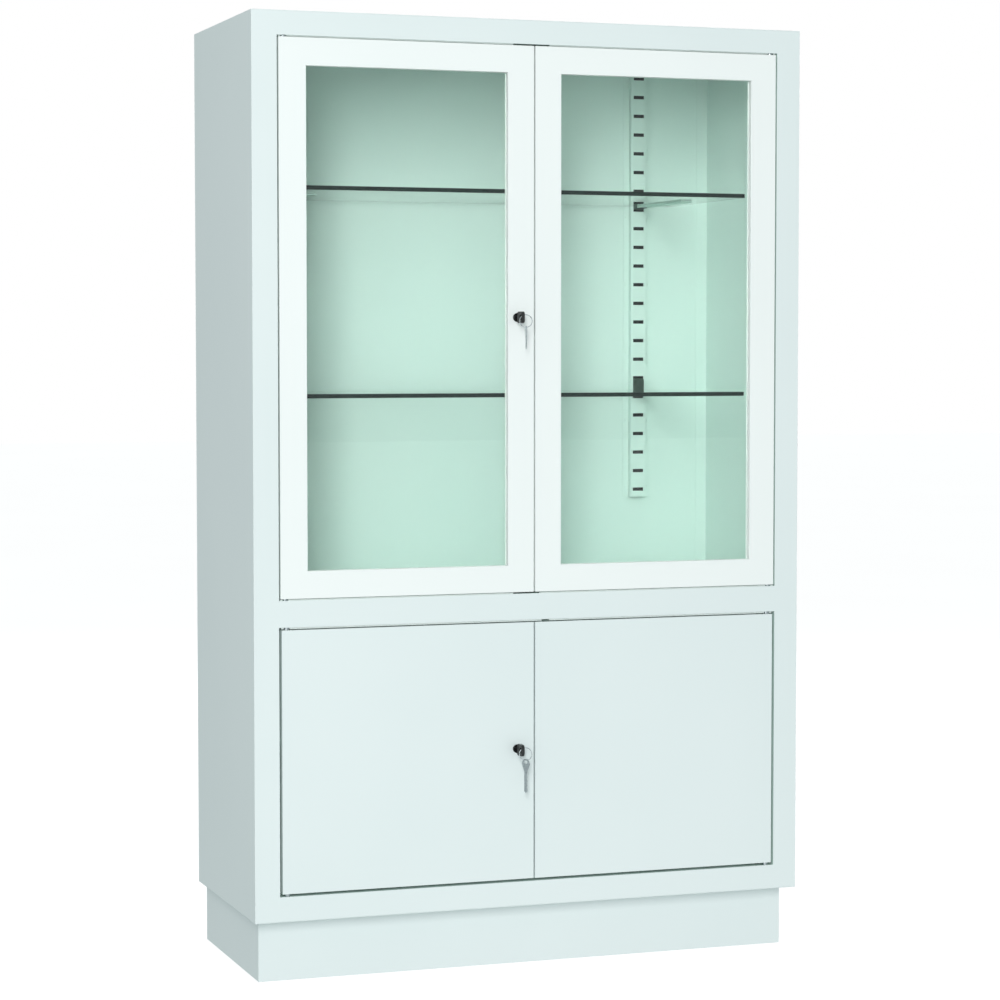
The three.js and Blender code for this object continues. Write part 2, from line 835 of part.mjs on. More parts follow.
// Spare key hanging from the lowest point of the ring, turned about the vertical from square to its wire
function makeSpareKey(lock, level, bladeLength, turn) {
  const holeCentre = ringWireRadius + spareSlack - spareHoleRadius;
  const bowCentre = holeCentre + spareHoleRim + spareHoleRadius - spareBowRadius;
  const half = spareBladeWidth / 2;
  const neck = bowCentre - spareShoulder;
  const tip = neck - bladeLength;
  const outline = new THREE.Shape();
  outline.absarc(0, bowCentre, spareBowRadius, -spareShoulderAngle, Math.PI + spareShoulderAngle);
  outline.lineTo(-half, neck);
  outline.lineTo(-half, tip + half);
  outline.lineTo(0, tip);
  outline.lineTo(half, tip + half);
  const notchPitch = (bladeLength - half) / (spareNotchCount + 1);
  for (let notch = 1; notch <= spareNotchCount; notch += 1) {
    const notchBottom = tip + half + (notch - 0.5) * notchPitch;
    outline.lineTo(half, notchBottom);
    outline.lineTo(half - spareNotchDepth, notchBottom + notchPitch / 2);
    outline.lineTo(half, notchBottom + notchPitch);
  }
  outline.lineTo(half, neck);
  outline.holes.push(roundHole(0, holeCentre, spareHoleRadius));
  const plate = prism(outline, 'y', spread(spareThickness / 2));
  const key = place(`${level}_spare_key`, plate, brightSteel, lock);
  key.rotation.z = squareToWire + turn;
  key.position.copy(ringLow);
}

// Bolt in the meeting stile of a right leaf: rod, stem through the inner sheet, and a thumb knob
function makeBolt(leaf, level) {
  const { opening } = leaf.userData;
  const top = opening.leafHeight;
  const rod = barAlongZ(boltRadius, [top - boltLength, top], 0, 0);
  const knobFront = doorThickness + boltKnobGap - boltDepth;
  const knobBack = knobFront + boltKnobThickness;
  const stem = barAlongY(boltStemRadius, [0, knobFront + boltKnobThickness / 2], 0, top - boltKnobDrop);
  const knob = barAlongY(boltKnobRadius, [knobFront, knobBack], 0, top - boltKnobDrop);
  const bolt = place(`${level}_door_bolt`, join(rod, stem, knob), zincPlate, leaf);
  bolt.position.set(boltXOnLeaf(leaf), boltDepth, 0);
}

function makeDoors(opening, level, makeDoor, spareBlade, spareTurn) {
  const left = makeLeaf(opening, -1);
  makeDoor(left, 'left');
  const lock = new THREE.Group();
  lock.position.set(lockX(left), 0, opening.lockHeight);
  left.add(lock);
  makeLock(lock, level);
  makeKey(lock, level);
  makeKeyRing(lock, level);
  makeSpareKey(lock, level, spareBlade, spareTurn);

  const right = makeLeaf(opening, 1);
  makeDoor(right, 'right');
  makeBolt(right, level);
  makePivotPins(opening, level);
}

makeFrontFrame();
makeSidePanel(-1, 'left_side_panel');
makeSidePanel(1, 'right_side_panel');
makeEndPanel('top_panel', totalHeight, shellTop, shellTop - fold);
makeEndPanel('base_panel', plinthHeight, shellBottom, shellBottom + fold);
makeBackPanel();
makeDeck('middle_deck', upperOpening.low);
makeDeck('bottom_deck', lowerOpening.low);
makePlinth();
makeSlottedRail(-1, 'left_slotted_rail');
makeSlottedRail(1, 'right_slotted_rail');
for (const [slot, shelf] of [[slotCountAboveUpperShelf, 'upper'], [slotCountAboveLowerShelf, 'lower']]) {
  makeBracket(-1, slot, `${shelf}_shelf_left_bracket`);
  makeBracket(1, slot, `${shelf}_shelf_right_bracket`);
  makeGlassShelf(slot, `${shelf}_glass_shelf`);
}
makeCupboardShelf();
makeCatch('upper_top_catch', upperOpening.high, -1);
makeCatch('upper_bottom_catch', upperOpening.low, 1);
makeCatch('lower_top_catch', lowerOpening.high, -1);
makeDoors(upperOpening, 'upper', makeGlassDoor, upperSpareBlade, 0);
makeDoors(lowerOpening, 'lower', makeCupboardDoor, lowerSpareBlade, lowerSpareTurn);

// Stand the footprint, keys included, centred on the origin
cabinet.updateMatrixWorld(true);
const footprint = new THREE.Box3().setFromObject(cabinet);
cabinet.position.y = -(footprint.min.y + footprint.max.y) / 2;

export default cabinet;
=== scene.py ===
# %% [markdown]
# # A glass door medical cabinet
#
# The cabinet is folded from thin steel sheet and powder coated white. Two glazed doors close the upper
# part, two plain doors close the cupboard below, and each pair has a lock with a key in it. The packed
# CAD model already holds every piece at its true size, so this lesson loads it as a fixed frame, gives
# each surface its finish, and adds the small pieces that a drawing leaves out.

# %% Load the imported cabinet
import math

import bmesh
import bpy
from mathutils import Matrix, Vector


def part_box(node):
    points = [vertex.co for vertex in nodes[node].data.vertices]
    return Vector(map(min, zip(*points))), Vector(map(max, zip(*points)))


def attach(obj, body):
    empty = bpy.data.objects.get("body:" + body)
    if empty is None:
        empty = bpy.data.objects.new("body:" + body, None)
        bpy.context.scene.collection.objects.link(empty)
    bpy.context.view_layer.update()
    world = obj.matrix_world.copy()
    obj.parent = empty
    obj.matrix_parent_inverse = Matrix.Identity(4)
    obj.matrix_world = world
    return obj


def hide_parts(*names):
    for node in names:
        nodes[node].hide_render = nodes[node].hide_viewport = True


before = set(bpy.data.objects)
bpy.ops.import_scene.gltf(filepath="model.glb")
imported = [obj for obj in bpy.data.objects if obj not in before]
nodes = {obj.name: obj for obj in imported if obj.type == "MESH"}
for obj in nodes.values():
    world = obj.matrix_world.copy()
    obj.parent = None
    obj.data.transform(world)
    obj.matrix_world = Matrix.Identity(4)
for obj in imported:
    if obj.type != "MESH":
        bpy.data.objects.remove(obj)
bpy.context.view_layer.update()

# %% [markdown]
# ## Where the photographer stood
#
# The lines of the doors and the plinth meet at vanishing points, and those fix the camera: a long lens,
# a little over five metres away, at about the height of the upper lock. It could be moved about by eye
# until the edges match, but a fit to the long edges gives its place and its lens at once. A camera in
# Blender looks down its own -Z axis, so a tilt of 90 degrees makes it level. Lens shift stays at zero,
# so the same camera also serves other views.

# %% Set up the camera
LENS_MM = 101.455
SENSOR_MM = 36.0
CAMERA_PLACE = (-1.8420, -5.2278, 1.1814)
CAMERA_TILT_DOWN = 3.0658
CAMERA_HEADING = -19.4327

scene = bpy.context.scene
camera_data = bpy.data.cameras.new("studio_camera")
camera_data.lens = LENS_MM
camera_data.sensor_width = SENSOR_MM
camera = bpy.data.objects.new("studio_camera", camera_data)
camera.location = CAMERA_PLACE
camera.rotation_euler = (math.radians(90 - CAMERA_TILT_DOWN), 0, math.radians(CAMERA_HEADING))
scene.collection.objects.link(camera)
scene.camera = camera
print("camera distance:", round(camera.location.length, 3), "m")

# %% [markdown]
# ## A soft grey room
#
# A white object on a white ground needs a room that gives only part of the light, or every side of the
# cabinet turns the same white. The light of the world is a slightly cool grey. A white floor throws
# light back, so this grey is a little brighter from below than from above: the height of each direction
# goes through a Map Range into the strength. The Standard view transform keeps white white.

# %% Make the room light
ROOM_TINT = (0.89, 0.99, 1.0, 1.0)
LIGHT_FROM_BELOW = 0.60
LIGHT_FROM_ABOVE = 0.47
HORIZON_BLEND = 0.4

scene.view_settings.view_transform = "Standard"
world = bpy.data.worlds.new("white_studio")
world.use_nodes = True
scene.world = world
air = world.node_tree
room_light = air.nodes["Background"]
room_light.inputs["Color"].default_value = ROOM_TINT
direction = air.nodes.new("ShaderNodeTexCoord")
split_direction = air.nodes.new("ShaderNodeSeparateXYZ")
dome = air.nodes.new("ShaderNodeMapRange")
dome.inputs["From Min"].default_value = -HORIZON_BLEND
dome.inputs["From Max"].default_value = HORIZON_BLEND
dome.inputs["To Min"].default_value = LIGHT_FROM_BELOW
dome.inputs["To Max"].default_value = LIGHT_FROM_ABOVE
air.links.new(direction.outputs["Generated"], split_direction.inputs["Vector"])
air.links.new(split_direction.outputs["Z"], dome.inputs["Value"])
air.links.new(dome.outputs["Result"], room_light.inputs["Strength"])
print("room light:", LIGHT_FROM_BELOW, "from below,", LIGHT_FROM_ABOVE, "from above")

# %% [markdown]
# ## White to the eye
#
# The background itself should still look like white paper. A big white wall would do, but it would also
# light the cabinet. So the world asks each ray how often it has met a surface on its way. A ray that has
# met none, or has only passed through glass, sees white, and every other ray sees the grey room.

# %% Keep the background white
WHITE = (1.0, 1.0, 1.0, 1.0)

paper_white = air.nodes.new("ShaderNodeBackground")
paper_white.inputs["Color"].default_value = WHITE
ray = air.nodes.new("ShaderNodeLightPath")
bounces = air.nodes.new("ShaderNodeMath")
bounces.operation = "ADD"
air.links.new(ray.outputs["Diffuse Depth"], bounces.inputs[0])
air.links.new(ray.outputs["Glossy Depth"], bounces.inputs[1])
unspent = air.nodes.new("ShaderNodeMath")
unspent.operation = "LESS_THAN"
unspent.inputs[1].default_value = 0.5
air.links.new(bounces.outputs["Value"], unspent.inputs[0])
either = air.nodes.new("ShaderNodeMixShader")
air.links.new(unspent.outputs["Value"], either.inputs["Fac"])
air.links.new(room_light.outputs["Background"], either.inputs[1])
air.links.new(paper_white.outputs["Background"], either.inputs[2])
air.links.new(either.outputs["Shader"], air.nodes["World Output"].inputs["Surface"])
print("world:", world.name, "with", len(air.nodes), "nodes")

# %% [markdown]
# ## Soft boxes
#
# One tall soft box stands far in front, a little further to the left than the camera. The shadow that
# the door stiles throw inside then falls where those same stiles hide it, the light still reaches the
# right wall, and the left side is only grazed. The box keeps clear of the place where the panes mirror
# the camera's view, so they show no bright patch, and because it reaches high, the top compartment stays
# darker than the ones below. A second box lies on the floor, for the light that white paper throws on
# the plinth. Two more light the back and the top, which the front view doesn't show, each with its own
# strength so that the edges between them stay clear. They are left out of reflections, so the flat top
# shows no glare.

# %% Hang the lights
def soft_box(name, place, target, size, watts):
    light = bpy.data.lights.new(name, "AREA")
    light.shape = "RECTANGLE"
    light.size, light.size_y = size
    light.energy = watts
    lamp = bpy.data.objects.new(name, light)
    lamp.location = place
    lamp.rotation_euler = (Vector(target) - Vector(place)).to_track_quat("-Z", "Y").to_euler()
    lamp.visible_camera = False
    scene.collection.objects.link(lamp)
    return lamp


soft_box(
    "front_soft_box", place=(-3.1, -7.2, 2.9), target=(0.0, 0.0, 1.0), size=(1.6, 4.0), watts=340)
soft_box(
    "floor_bounce", place=(0.0, -1.3, 0.03), target=(0.0, -0.2, 0.45), size=(2.0, 0.7), watts=1.1)
back_lamp = soft_box(
    "back_soft_box", place=(1.6, 4.6, 3.2), target=(0.0, 0.2, 0.9), size=(2.5, 2.5), watts=105)
top_lamp = soft_box(
    "top_soft_box", place=(0.0, 0.6, 4.4), target=(0.0, 0.1, 1.8), size=(1.0, 1.0), watts=24)
for lamp in (back_lamp, top_lamp):
    lamp.visible_glossy = False

# %% [markdown]
# ## Finishes from nodes
#
# Every finish here is a Principled shader with a few texture nodes in front of it. Painted pictures
# would need unwrapped meshes, while noise needs only a coordinate. Object coordinates are used
# throughout: the nodes sit at the origin, so one unit is one metre, and a noise of scale 500 has grains
# of about two millimetres. Noise seldom leaves the range from 0.3 to 0.7, so that range is spread over
# the colours and numbers. Values that are the same all over are typed into the shader's own sockets.

# %% Helpers for finishes
NOISE_LOW = 0.3
NOISE_HIGH = 0.7


def new_finish(name, **sockets):
    finish = bpy.data.materials.new(name)
    finish.use_nodes = True
    shader = finish.node_tree.nodes["Principled BSDF"]
    for socket, value in sockets.items():
        shader.inputs[socket.replace("_", " ")].default_value = value
    return finish, shader


def add_node(finish, kind, **sockets):
    node = finish.node_tree.nodes.new(kind)
    for socket, value in sockets.items():
        node.inputs[socket.replace("_", " ")].default_value = value
    return node


def join(finish, source, target):
    finish.node_tree.links.new(source, target)


def grain(finish, scale, detail=2.0):
    place = add_node(finish, "ShaderNodeTexCoord")
    noise = add_node(finish, "ShaderNodeTexNoise", Scale=scale, Detail=detail)
    join(finish, place.outputs["Object"], noise.inputs["Vector"])
    return noise.outputs["Fac"]


def colour_ramp(finish, pattern, dark, light):
    ramp = add_node(finish, "ShaderNodeValToRGB")
    ramp.color_ramp.elements[0].position = NOISE_LOW
    ramp.color_ramp.elements[0].color = (*dark, 1.0)
    ramp.color_ramp.elements[1].position = NOISE_HIGH
    ramp.color_ramp.elements[1].color = (*light, 1.0)
    join(finish, pattern, ramp.inputs["Fac"])
    return ramp.outputs["Color"]


def vary_number(finish, shader, socket, pattern, low, high):
    spread = add_node(finish, "ShaderNodeMapRange")
    spread.inputs["From Min"].default_value = NOISE_LOW
    spread.inputs["From Max"].default_value = NOISE_HIGH
    spread.inputs["To Min"].default_value = low
    spread.inputs["To Max"].default_value = high
    join(finish, pattern, spread.inputs["Value"])
    join(finish, spread.outputs["Result"], shader.inputs[socket])


def relief(finish, shader, pattern, depth):
    bump = add_node(finish, "ShaderNodeBump", Strength=1.0, Distance=depth)
    join(finish, pattern, bump.inputs["Height"])
    join(finish, bump.outputs["Normal"], shader.inputs["Normal"])


print("finish helpers: new_finish, add_node, join, grain, colour_ramp, vary_number, relief")

# %% [markdown]
# ## Powder coat
#
# Powder coat is melted on, so it levels out into a faint orange peel: soft waves about two millimetres
# across and about a hundredth of a millimetre high. Real geometry that fine would be far too heavy, so a
# noise of that scale drives a bump. A far larger noise tints the white a little, because no oven cures a
# whole panel evenly. The glazed doors get a brighter copy of the white: partly a cleaner paint, partly a
# painted highlight for the light that falls hardest on them.

# %% Mix the powder coats
CURE_SCALE = 2.2
PEEL_SCALE = 480.0
PEEL_HEIGHT = 0.000012
GLOSS_SCALE = 9.0
POWDER_ROUGHNESS = (0.37, 0.42)


def powder_coat(name, dark, light):
    finish, shader = new_finish(name, IOR=1.5)
    tint = colour_ramp(finish, grain(finish, CURE_SCALE, 3.0), dark, light)
    join(finish, tint, shader.inputs["Base Color"])
    relief(finish, shader, grain(finish, PEEL_SCALE), PEEL_HEIGHT)
    vary_number(finish, shader, "Roughness", grain(finish, GLOSS_SCALE, 4.0), *POWDER_ROUGHNESS)
    return finish


body_white = powder_coat(
    "body_powder_coat", dark=(0.765, 0.835, 0.830), light=(0.790, 0.855, 0.850))
# A brighter copy of the white: a cleaner paint, with a painted highlight on the glazed doors.
door_white_and_highlight = powder_coat(
    "glazed_door_coat_and_highlight", dark=(0.885, 0.920, 0.905), light=(0.905, 0.935, 0.920))
print("powder coats:", body_white.name, door_white_and_highlight.name)

# %% [markdown]
# ## Mint inside, white outside
#
# The inside of the cabinet is a pale mint. Light that bounces about in there takes on more of the colour
# at every bounce, so the shaded top compartment looks greener than the bright ones. A side panel is one
# node with both colours. Its faces could be sorted into two material slots, but its paint can also ask
# where it is: each Compare node tests whether one coordinate lies within a distance of a middle value,
# and the three answers multiplied are a mask in the form of a box. Absolute folds X to one half, as the
# left half of the cabinet mirrors the right.

# %% Paint by position
def number_node(finish, operation, *values):
    node = add_node(finish, "ShaderNodeMath")
    node.operation = operation
    for socket, value in zip(node.inputs, values):
        if isinstance(value, float):
            socket.default_value = value
        else:
            join(finish, value, socket)
    return node.outputs["Value"]


def box_mask(finish, low, high):
    place = add_node(finish, "ShaderNodeTexCoord")
    split = add_node(finish, "ShaderNodeSeparateXYZ")
    join(finish, place.outputs["Object"], split.inputs["Vector"])
    aside = number_node(finish, "ABSOLUTE", split.outputs["X"])
    tests = []
    for socket, start, end in zip((aside, split.outputs["Y"], split.outputs["Z"]), low, high):
        tests.append(number_node(finish, "COMPARE", socket, (start + end) / 2, (end - start) / 2))
    in_plan = number_node(finish, "MULTIPLY", tests[0], tests[1])
    return number_node(finish, "MULTIPLY", in_plan, tests[2])


def repaint(finish, low, high, dark, light, scale):
    shader = finish.node_tree.nodes["Principled BSDF"]
    first = shader.inputs["Base Color"].links[0].from_socket
    second = colour_ramp(finish, grain(finish, scale, 3.0), dark, light)
    choice = add_node(finish, "ShaderNodeMix")
    choice.data_type = "RGBA"
    join(finish, box_mask(finish, low, high), choice.inputs["Factor"])
    for socket, colour in zip([s for s in choice.inputs if s.type == "RGBA"], (first, second)):
        join(finish, colour, socket)
    result = [s for s in choice.outputs if s.type == "RGBA"][0]
    join(finish, result, shader.inputs["Base Color"])


print("paint helpers: number_node, box_mask, repaint")

# %% Paint the inside mint
HALF_SHEET = 0.0006
INSIDE_MINT = ((0.565, 0.710, 0.657), (0.585, 0.725, 0.672))

carcass_low, carcass_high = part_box("front_frame")
back_low, back_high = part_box("back_panel")
inside_low = (0.0, carcass_low.y + HALF_SHEET, back_low.z)
inside_high = (carcass_high.x - HALF_SHEET, back_high.y - HALF_SHEET, back_high.z)
carcass_finish = body_white.copy()
carcass_finish.name = "carcass_powder_coat"
repaint(carcass_finish, inside_low, inside_high, *INSIDE_MINT, CURE_SCALE)
print("mint from", inside_low, "to", inside_high)

# %% [markdown]
# ## Bare steel and painted shade inside the slotted rails
#
# Powder does not reach into a closed channel, so behind the slots the steel is left bare. Its paint is
# made nearly black, darker than bare steel: a painted shade, so that the slots read as black dashes.
# Black plates behind the slots would do the same, but the same kind of mask paints that hidden strip with
# no extra piece. Rails and back are also less glossy than the outside, or the strip would mirror the
# room through its slots.

# %% Paint shade into the bare channels
RAIL_SHEET = 0.0015
RAIL_FOOT = 0.012
RAIL_SHINE = 0.15
# Near-black, darker than bare steel: a painted shade behind the slots.
BARE_STEEL_AND_SHADE = ((0.004, 0.006, 0.005), (0.010, 0.013, 0.012))
BARE_STEEL_SHADE_SCALE = 60.0

rail_low, rail_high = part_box("right_slotted_rail")
side_margin = RAIL_FOOT + RAIL_SHEET / 2
channel_low = (rail_low.x + side_margin, rail_low.y + RAIL_SHEET * 0.6, rail_low.z)
channel_high = (rail_high.x - side_margin, back_low.y + HALF_SHEET, rail_high.z)
rail_finish = carcass_finish.copy()
rail_finish.name = "slotted_rail_coat_and_shade"
# The mask paints shade into the channel behind the slots.
repaint(rail_finish, channel_low, channel_high, *BARE_STEEL_AND_SHADE, BARE_STEEL_SHADE_SCALE)
rail_shader = rail_finish.node_tree.nodes["Principled BSDF"]
rail_shader.inputs["Specular IOR Level"].default_value = RAIL_SHINE
print("bare channel from", channel_low, "to", channel_high)

# %% [markdown]
# ## Glass
#
# The panes are sheet glass with a faint green cast. A Principled shader with full transmission refracts
# as real glass does, but it also blocks the lamps, because light bent by glass is hard to trace back to
# a lamp. The panes therefore cast no shadow: the lamps reach the shelves inside, and the eye still sees
# them through the tint. A slow, very shallow wave keeps the reflections from looking like a perfect
# mirror. The edge of a shelf is looked at along the glass, so it shows nearly black green: that edge
# gets a finish of its own.

# %% Melt the glass
CAST_SCALE = 1.5
WAVE_SCALE = 6.0
WAVE_HEIGHT = 0.00002
GLASS_SHINE = 0.1


def sheet_glass(name, dark, light):
    finish, shader = new_finish(
        name, IOR=1.5, Roughness=0.0, Transmission_Weight=1.0, Specular_IOR_Level=GLASS_SHINE)
    cast = colour_ramp(finish, grain(finish, CAST_SCALE, 1.0), dark, light)
    join(finish, cast, shader.inputs["Base Color"])
    relief(finish, shader, grain(finish, WAVE_SCALE, 0.0), WAVE_HEIGHT)
    return finish


pane_glass = sheet_glass("pane_glass", dark=(0.895, 0.970, 0.940), light=(0.915, 0.980, 0.950))
shelf_glass = sheet_glass("clear_shelf_glass", dark=(0.90, 0.96, 0.93), light=(0.93, 0.98, 0.95))
print("glass:", pane_glass.name, shelf_glass.name)

# %% [markdown]
# ## Metals, rubber and plastic
#
# Zinc plate is dull and slightly mottled, nickel on the keys is bright with fine scratches, and the lock
# faces are a dark chrome. Rubber and moulded plastic have a fine moulded grain. One recipe serves them
# all: the same noise moves the colour, the roughness and a very shallow bump, only the numbers differ.

# %% Mix the small finishes
def small_finish(name, dark, light, rough, scale, depth, metal=0.0, shine=0.5):
    finish, shader = new_finish(name, Metallic=metal, Specular_IOR_Level=shine)
    pattern = grain(finish, scale, 3.0)
    join(finish, colour_ramp(finish, pattern, dark, light), shader.inputs["Base Color"])
    vary_number(finish, shader, "Roughness", pattern, *rough)
    relief(finish, shader, pattern, depth)
    return finish


zinc = small_finish(
    "zinc_plate", dark=(0.50, 0.52, 0.53), light=(0.66, 0.68, 0.69),
    rough=(0.30, 0.45), scale=160, depth=0.00001, metal=1.0)
nickel = small_finish(
    "nickel_plate", dark=(0.42, 0.46, 0.48), light=(0.56, 0.60, 0.62),
    rough=(0.26, 0.38), scale=300, depth=0.000006, metal=1.0)
rubber = small_finish(
    "glazing_rubber", dark=(0.74, 0.79, 0.77), light=(0.80, 0.84, 0.82),
    rough=(0.55, 0.75), scale=700, depth=0.00001)
# Near-black green zinc: a painted shade for the dark slots that the bracket hooks sit in.
hook_zinc_and_shade = small_finish(
    "zinc_and_painted_shade", dark=(0.05, 0.08, 0.065), light=(0.09, 0.13, 0.11),
    rough=(0.40, 0.55), scale=160, depth=0.00001, metal=1.0)
dark_chrome = small_finish(
    "dark_chrome", dark=(0.04, 0.045, 0.045), light=(0.08, 0.085, 0.085),
    rough=(0.18, 0.28), scale=400, depth=0.000004, metal=1.0)
black_plastic = small_finish(
    "black_plastic", dark=(0.012, 0.013, 0.013), light=(0.022, 0.024, 0.024),
    rough=(0.32, 0.46), scale=900, depth=0.000012)
edge_green = small_finish(
    "polished_glass_edge", dark=(0.001, 0.005, 0.004), light=(0.003, 0.011, 0.008),
    rough=(0.10, 0.18), scale=40, depth=0.00001, shine=0.12)
small_finishes = (zinc, nickel, rubber, hook_zinc_and_shade, dark_chrome, black_plastic, edge_green)
print("small finishes:", [finish.name for finish in small_finishes])

# %% [markdown]
# ## Shelf brackets
#
# A bracket hooks into a slot of the rail and reaches forward under the glass. Its zinc is made near-black
# green at the hook, a painted shade for the dark slot it sits in, and it is painted along the arm, like
# the wall behind it. It is one node, so it takes its second colour by position, with the mask of the mint
# paint.

# %% Coat the brackets
BRACKET_HOOK = 0.022

# The hook keeps the near-black zinc, a painted shade; the arm is painted mint.
bracket_finish = hook_zinc_and_shade.copy()
bracket_finish.name = "bracket_coat"
arm_low = (0.0, inside_low[1], inside_low[2])
arm_high = (inside_high[0], rail_low.y - BRACKET_HOOK, inside_high[2])
repaint(bracket_finish, arm_low, arm_high, *INSIDE_MINT, CURE_SCALE)
print("bracket arms painted up to y =", round(arm_high[1], 4))

# %% [markdown]
# ## Dress the CAD nodes
#
# Fifty-nine nodes could each be given a finish by hand. But the imported model names a material slot for
# every node, so a table from slot to finish dresses nearly all of them. A few nodes differ from their
# slot: the glazed doors have the brighter white with its painted highlight, the sheets of the carcass are
# mint inside, the back and the rails have painted shade in their channels, the shelf brackets have
# painted shade at the hook, and the lock faces are dark.

# %% Choose the finishes
finish_of_slot = {
    "powder_coat": body_white,
    "door_glass": pane_glass,
    "shelf_glass": shelf_glass,
    "glazing_rubber": rubber,
    "zinc_plate": zinc,
    "bright_steel": nickel,
    "black_plastic": black_plastic,
}
finish_of_node = {"back_panel": rail_finish}
for name in ("front_frame", "top_panel", "base_panel", "middle_deck", "bottom_deck", "cupboard_shelf"):
    finish_of_node[name] = carcass_finish
for side in ("left", "right"):
    finish_of_node[side + "_side_panel"] = carcass_finish
    finish_of_node[side + "_cupboard_shelf_support"] = carcass_finish
    finish_of_node[side + "_glass_door_frame"] = door_white_and_highlight
    finish_of_node[side + "_glazing_frame"] = door_white_and_highlight
    finish_of_node[side + "_slotted_rail"] = rail_finish
    finish_of_node["upper_shelf_" + side + "_bracket"] = bracket_finish
    finish_of_node["lower_shelf_" + side + "_bracket"] = bracket_finish
for level in ("upper", "lower"):
    finish_of_node[level + "_lock_housing"] = dark_chrome
    finish_of_node[level + "_lock_plug"] = dark_chrome
print("by slot:", len(finish_of_slot), "by node:", len(finish_of_node))

# %% Give each node its finish
slot_of_node = {}
for name, node in nodes.items():
    slot_of_node[name] = node.data.materials[0].name
    node.material_slots[0].material = finish_of_node.get(name, finish_of_slot[slot_of_node[name]])
    node.visible_shadow = slot_of_node[name] != "door_glass"
print("dressed:", len(slot_of_node))

# %% [markdown]
# ## Soften the edges
#
# No real edge is a perfect line: folded sheet has a small bend radius, and plastic a small moulding
# radius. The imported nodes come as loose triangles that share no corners, and a bevel finds no edge
# between those. So a weld joins the corners first, and a planar dissolve merges the triangles of each
# flat into one face. Then a bevel rounds every edge sharper than 35 degrees. Its width stays under half
# the sheet's thickness, so the two sides of a cut edge never meet. A weighted normal comes last: the
# broad faces decide how their corners are shaded, so flats look flat and only the narrow bevels curve.
# All of these are modifiers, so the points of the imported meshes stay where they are.

# %% Bevel the nodes
bevel_of_slot = {
    "powder_coat": 0.0004,
    "door_glass": 0.0005,
    "shelf_glass": 0.0009,
    "glazing_rubber": 0.0003,
    "zinc_plate": 0.0003,
    "bright_steel": 0.0002,
    "black_plastic": 0.0008,
}
SHARP = math.radians(35)
FLAT = math.radians(0.5)
WELD_REACH = 0.00001


def join_triangles(node):
    weld = node.modifiers.new("joined_corners", "WELD")
    weld.merge_threshold = WELD_REACH
    merge = node.modifiers.new("merged_flats", "DECIMATE")
    merge.decimate_type = "DISSOLVE"
    merge.angle_limit = FLAT


def soften(piece, width, steps=2):
    piece.data.shade_smooth()
    piece.data.set_sharp_from_angle(angle=SHARP)
    bevel = piece.modifiers.new("softened_edges", "BEVEL")
    bevel.width = width
    bevel.segments = steps
    bevel.limit_method = "ANGLE"
    bevel.angle_limit = SHARP
    shading = piece.modifiers.new("flat_faces", "WEIGHTED_NORMAL")
    shading.mode = "FACE_AREA"
    return bevel


for name, node in nodes.items():
    join_triangles(node)
    bevel = soften(node, bevel_of_slot[slot_of_node[name]])
    bevel.use_clamp_overlap = False
print("softened:", len(nodes))

# %% [markdown]
# ## New pieces
#
# The pieces that follow are built point by point with bmesh, because most of them start from an outline
# that is pushed to a thickness. Every new piece gets its finishes and rides on the body that carries it,
# so that it moves with its door or lock.

# %% Helpers for new pieces
def make_piece(name, shape, finishes, body):
    mesh = bpy.data.meshes.new(name)
    bmesh.ops.recalc_face_normals(shape, faces=shape.faces)
    shape.to_mesh(mesh)
    shape.free()
    for finish in finishes:
        mesh.materials.append(finish)
    piece = bpy.data.objects.new(name, mesh)
    scene.collection.objects.link(piece)
    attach(piece, body)
    return piece


def rounded_corners(low, high, radius, steps):
    points = []
    corners = [
        (high[0], high[1], 0), (low[0], high[1], 90), (low[0], low[1], 180), (high[0], low[1], 270)]
    for x, y, start in corners:
        centre_x = x - math.copysign(radius, x - low[0] - 1e-9)
        centre_y = y - math.copysign(radius, y - low[1] - 1e-9)
        for step in range(steps + 1):
            angle = math.radians(start + 90 * step / steps)
            points.append((centre_x + radius * math.cos(angle), centre_y + radius * math.sin(angle)))
    return points


def push_face(shape, face, travel):
    pushed = bmesh.ops.extrude_face_region(shape, geom=[face])["geom"]
    verts = [part for part in pushed if isinstance(part, bmesh.types.BMVert)]
    bmesh.ops.translate(shape, vec=travel, verts=verts)


print("piece helpers: make_piece, rounded_corners, push_face")

# %% [markdown]
# ## Glass shelves
#
# A shelf is a plain sheet, but its edges make it glass: they are ground round and its corners are cut
# off, so nobody is hurt. A box with a bevel would round all edges alike, and the corners of the plan
# need a larger radius. So the plan is a rectangle with rounded corners, pushed up by the thickness, and
# the rim faces take the dark edge finish. The new sheet stands for the CAD node at the same place.

# %% Cut the glass shelves
SHELF_CORNER = 0.006
SHELF_EDGE = 0.0009


def make_glass_shelf(node_name, name):
    low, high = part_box(node_name)
    shape = bmesh.new()
    plan = rounded_corners(low, high, SHELF_CORNER, 5)
    bottom = shape.faces.new([shape.verts.new((x, y, low.z)) for x, y in plan])
    push_face(shape, bottom, (0, 0, high.z - low.z))
    shape.normal_update()
    for face in shape.faces:
        face.material_index = 0 if abs(face.normal.z) > 0.5 else 1
    shelf = make_piece(name, shape, [shelf_glass, edge_green], "cabinet")
    soften(shelf, SHELF_EDGE, 3)
    shelf.visible_shadow = False
    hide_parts(node_name)
    return shelf


for level in ("upper", "lower"):
    shelf = make_glass_shelf(level + "_glass_shelf", level + "_shelf_sheet")
    print(shelf.name, [round(size, 4) for size in shelf.dimensions])

# %% [markdown]
# ## Key heads
#
# The key in each lock has a moulded black head with a raised border round its edge and round its hole.
# A Boolean could cut the hole, but it leaves uneven faces that are hard to inset. So the head starts as
# a ring of faces between an outer loop and the hole: rays from the middle of the hole find the outline,
# and the ring is doubled and closed to its thickness. Both broad sides are then inset twice: once in
# their plane, for the flat border, and once more while they sink, for the step. The step leans a little,
# as every moulded wall does, so that the mould lets go.

